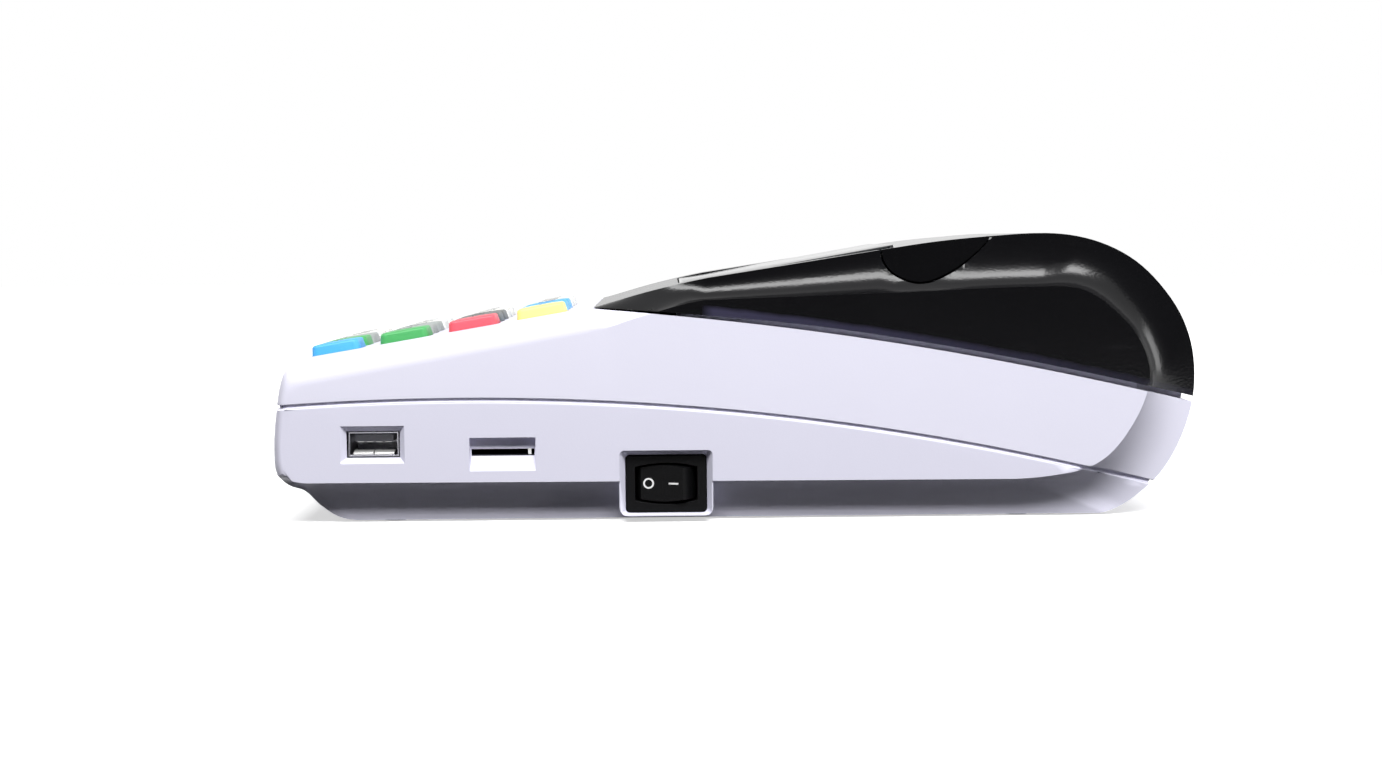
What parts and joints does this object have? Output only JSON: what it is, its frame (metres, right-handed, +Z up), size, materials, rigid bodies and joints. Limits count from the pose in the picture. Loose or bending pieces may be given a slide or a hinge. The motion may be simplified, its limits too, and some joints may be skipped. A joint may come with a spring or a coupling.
{
  "type": "ticket register",
  "caption": "Portable ticket register: sloping keyboard, smoked display cover, and a ticket printer under a rear-hinged paper door with half-moon grips.",
  "frame": {"origin": "under the middle of the case, on the surface that the feet stand on", "axes": "+X towards the printer end, -Y towards the side with the rocker switch, +Z up"},
  "size_m": [0.2406, 0.105, 0.074],
  "materials": {
    "white_case": "fine satin moulded plastic",
    "smoked_cover": "high gloss smoked plastic",
    "paper_door": "high gloss black plastic",
    "display_lens": "polished smoked window",
    "black_plastic": "satin black plastic",
    "rubber": "matt",
    "steel": "satin",
    "brass": "machined",
    "nylon": "satin",
    "circuit_board": "solder mask",
    "paper": "smooth thermal paper",
    "lcd": "glass faced display",
    "key_blue": "satin silicone",
    "key_green": "satin silicone",
    "key_red": "satin silicone",
    "key_yellow": "satin silicone",
    "key_grey": "satin silicone",
    "key_dark": "satin silicone",
    "key_white": "satin silicone"
  },
  "bodies": {
    "case": {"battery_cover": "white_case", "battery_pack": "black_plastic", "card_socket": "steel", "case_screw_front_far": "steel", "case_screw_front_near": "steel", "case_screw_rear_far": "steel", "case_screw_rear_near": "steel", "dc_jack": "black_plastic", "display_lens": "display_lens", "door_hinge_pin": "steel", "foot_front_far": "rubber", "foot_front_near": "rubber", "foot_rear_far": "rubber", "foot_rear_near": "rubber", "head_spring": "steel", "idler_pin": "steel", "keypad_board": "circuit_board", "keypad_mat": "rubber", "lcd_module": "lcd", "lower_case": "white_case", "main_board": "circuit_board", "paper_bin": "white_case", "print_head": "nylon", "printer_frame": "steel", "smoked_cover": "smoked_cover", "stepper_motor": "steel", "switch_housing": "black_plastic", "tear_bar": "steel", "upper_case": "white_case", "usb_socket": "steel"},
    "paper_door": {"paper_door": "paper_door"},
    "platen": {"platen_roller": "rubber", "platen_shaft": "steel", "platen_gear": "nylon"},
    "idler": {"idler_gear": "nylon"},
    "pinion": {"motor_pinion": "brass"},
    "roll": {"paper_roll": "paper"},
    "rocker": {"switch_rocker": "black_plastic"},
    "key_r1_c1": {"key_r1_c1": "key_blue"},
    "key_r1_c2": {"key_r1_c2": "key_green"},
    "key_r1_c3": {"key_r1_c3": "key_grey"},
    "key_r1_c4": {"key_r1_c4": "key_white"},
    "key_r1_c5": {"key_r1_c5": "key_white"},
    "key_r2_c1": {"key_r2_c1": "key_green"},
    "key_r2_c2": {"key_r2_c2": "key_grey"},
    "key_r2_c3": {"key_r2_c3": "key_grey"},
    "key_r2_c4": {"key_r2_c4": "key_white"},
    "key_r2_c5": {"key_r2_c5": "key_white"},
    "key_r3_c1": {"key_r3_c1": "key_red"},
    "key_r3_c2": {"key_r3_c2": "key_dark"},
    "key_r3_c3": {"key_r3_c3": "key_dark"},
    "key_r3_c4": {"key_r3_c4": "key_white"},
    "key_r3_c5": {"key_r3_c5": "key_white"},
    "key_r4_c1": {"key_r4_c1": "key_yellow"},
    "key_r4_c2": {"key_r4_c2": "key_blue"},
    "key_r4_c3": {"key_r4_c3": "key_blue"},
    "key_r4_c4": {"key_r4_c4": "key_white"},
    "key_r4_c5": {"key_r4_c5": "key_white"}
  },
  "joints": [
    {"name": "paper_door_hinge", "type": "hinge", "parent": "case", "child": "paper_door", "pos_m": [0.10844, 0, 0.0586], "axis": [0, 1, 0], "range_deg": [0, 80]},
    {"name": "platen_spin", "type": "hinge", "parent": "paper_door", "child": "platen", "pos_m": [0.04272, 0, 0.05948], "axis": [0, 1, 0], "continuous": true},
    {"name": "idler_spin", "type": "hinge", "parent": "case", "child": "idler", "pos_m": [0.0371, 0, 0.04687], "axis": [0, 1, 0], "continuous": true},
    {"name": "pinion_spin", "type": "hinge", "parent": "case", "child": "pinion", "pos_m": [0.02704, 0, 0.04152], "axis": [0, 1, 0], "continuous": true},
    {"name": "roll_spin", "type": "hinge", "parent": "case", "child": "roll", "pos_m": [0.08352, 0, 0.0395], "axis": [0, 1, 0], "continuous": true},
    {"name": "rocker_tilt", "type": "hinge", "parent": "case", "child": "rocker", "pos_m": [-0.0185, -0.0451, 0.0099], "axis": [0, 0, 1], "range_deg": [0, 24]},
    {"name": "press_r1_c1", "type": "slide", "parent": "case", "child": "key_r1_c1", "axis": [0.1661, 0, -0.9861], "range_m": [0, 0.0016], "stiffness_N_per_m": 600, "springref_m": -0.0005},
    {"name": "press_r1_c2", "type": "slide", "parent": "case", "child": "key_r1_c2", "axis": [0.1661, 0, -0.9861], "range_m": [0, 0.0016], "stiffness_N_per_m": 600, "springref_m": -0.0005},
    {"name": "press_r1_c3", "type": "slide", "parent": "case", "child": "key_r1_c3", "axis": [0.1661, 0, -0.9861], "range_m": [0, 0.0016], "stiffness_N_per_m": 600, "springref_m": -0.0005},
    {"name": "press_r1_c4", "type": "slide", "parent": "case", "child": "key_r1_c4", "axis": [0.1661, 0, -0.9861], "range_m": [0, 0.0016], "stiffness_N_per_m": 600, "springref_m": -0.0005},
    {"name": "press_r1_c5", "type": "slide", "parent": "case", "child": "key_r1_c5", "axis": [0.1661, 0, -0.9861], "range_m": [0, 0.0016], "stiffness_N_per_m": 600, "springref_m": -0.0005},
    {"name": "press_r2_c1", "type": "slide", "parent": "case", "child": "key_r2_c1", "axis": [0.1661, 0, -0.9861], "range_m": [0, 0.0016], "stiffness_N_per_m": 600, "springref_m": -0.0005},
    {"name": "press_r2_c2", "type": "slide", "parent": "case", "child": "key_r2_c2", "axis": [0.1661, 0, -0.9861], "range_m": [0, 0.0016], "stiffness_N_per_m": 600, "springref_m": -0.0005},
    {"name": "press_r2_c3", "type": "slide", "parent": "case", "child": "key_r2_c3", "axis": [0.1661, 0, -0.9861], "range_m": [0, 0.0016], "stiffness_N_per_m": 600, "springref_m": -0.0005},
    {"name": "press_r2_c4", "type": "slide", "parent": "case", "child": "key_r2_c4", "axis": [0.1661, 0, -0.9861], "range_m": [0, 0.0016], "stiffness_N_per_m": 600, "springref_m": -0.0005},
    {"name": "press_r2_c5", "type": "slide", "parent": "case", "child": "key_r2_c5", "axis": [0.1661, 0, -0.9861], "range_m": [0, 0.0016], "stiffness_N_per_m": 600, "springref_m": -0.0005},
    {"name": "press_r3_c1", "type": "slide", "parent": "case", "child": "key_r3_c1", "axis": [0.1661, 0, -0.9861], "range_m": [0, 0.0016], "stiffness_N_per_m": 600, "springref_m": -0.0005},
    {"name": "press_r3_c2", "type": "slide", "parent": "case", "child": "key_r3_c2", "axis": [0.1661, 0, -0.9861], "range_m": [0, 0.0016], "stiffness_N_per_m": 600, "springref_m": -0.0005},
    {"name": "press_r3_c3", "type": "slide", "parent": "case", "child": "key_r3_c3", "axis": [0.1661, 0, -0.9861], "range_m": [0, 0.0016], "stiffness_N_per_m": 600, "springref_m": -0.0005},
    {"name": "press_r3_c4", "type": "slide", "parent": "case", "child": "key_r3_c4", "axis": [0.1661, 0, -0.9861], "range_m": [0, 0.0016], "stiffness_N_per_m": 600, "springref_m": -0.0005},
    {"name": "press_r3_c5", "type": "slide", "parent": "case", "child": "key_r3_c5", "axis": [0.1661, 0, -0.9861], "range_m": [0, 0.0016], "stiffness_N_per_m": 600, "springref_m": -0.0005},
    {"name": "press_r4_c1", "type": "slide", "parent": "case", "child": "key_r4_c1", "axis": [0.1661, 0, -0.9861], "range_m": [0, 0.0016], "stiffness_N_per_m": 600, "springref_m": -0.0005},
    {"name": "press_r4_c2", "type": "slide", "parent": "case", "child": "key_r4_c2", "axis": [0.1661, 0, -0.9861], "range_m": [0, 0.0016], "stiffness_N_per_m": 600, "springref_m": -0.0005},
    {"name": "press_r4_c3", "type": "slide", "parent": "case", "child": "key_r4_c3", "axis": [0.1661, 0, -0.9861], "range_m": [0, 0.0016], "stiffness_N_per_m": 600, "springref_m": -0.0005},
    {"name": "press_r4_c4", "type": "slide", "parent": "case", "child": "key_r4_c4", "axis": [0.1661, 0, -0.9861], "range_m": [0, 0.0016], "stiffness_N_per_m": 600, "springref_m": -0.0005},
    {"name": "press_r4_c5", "type": "slide", "parent": "case", "child": "key_r4_c5", "axis": [0.1661, 0, -0.9861], "range_m": [0, 0.0016], "stiffness_N_per_m": 600, "springref_m": -0.0005}
  ],
  "couplings": [
    {"joint": "idler_spin", "follows": "platen_spin", "ratio": -0.76923},
    {"joint": "pinion_spin", "follows": "platen_spin", "ratio": 1.6667}
  ]
}
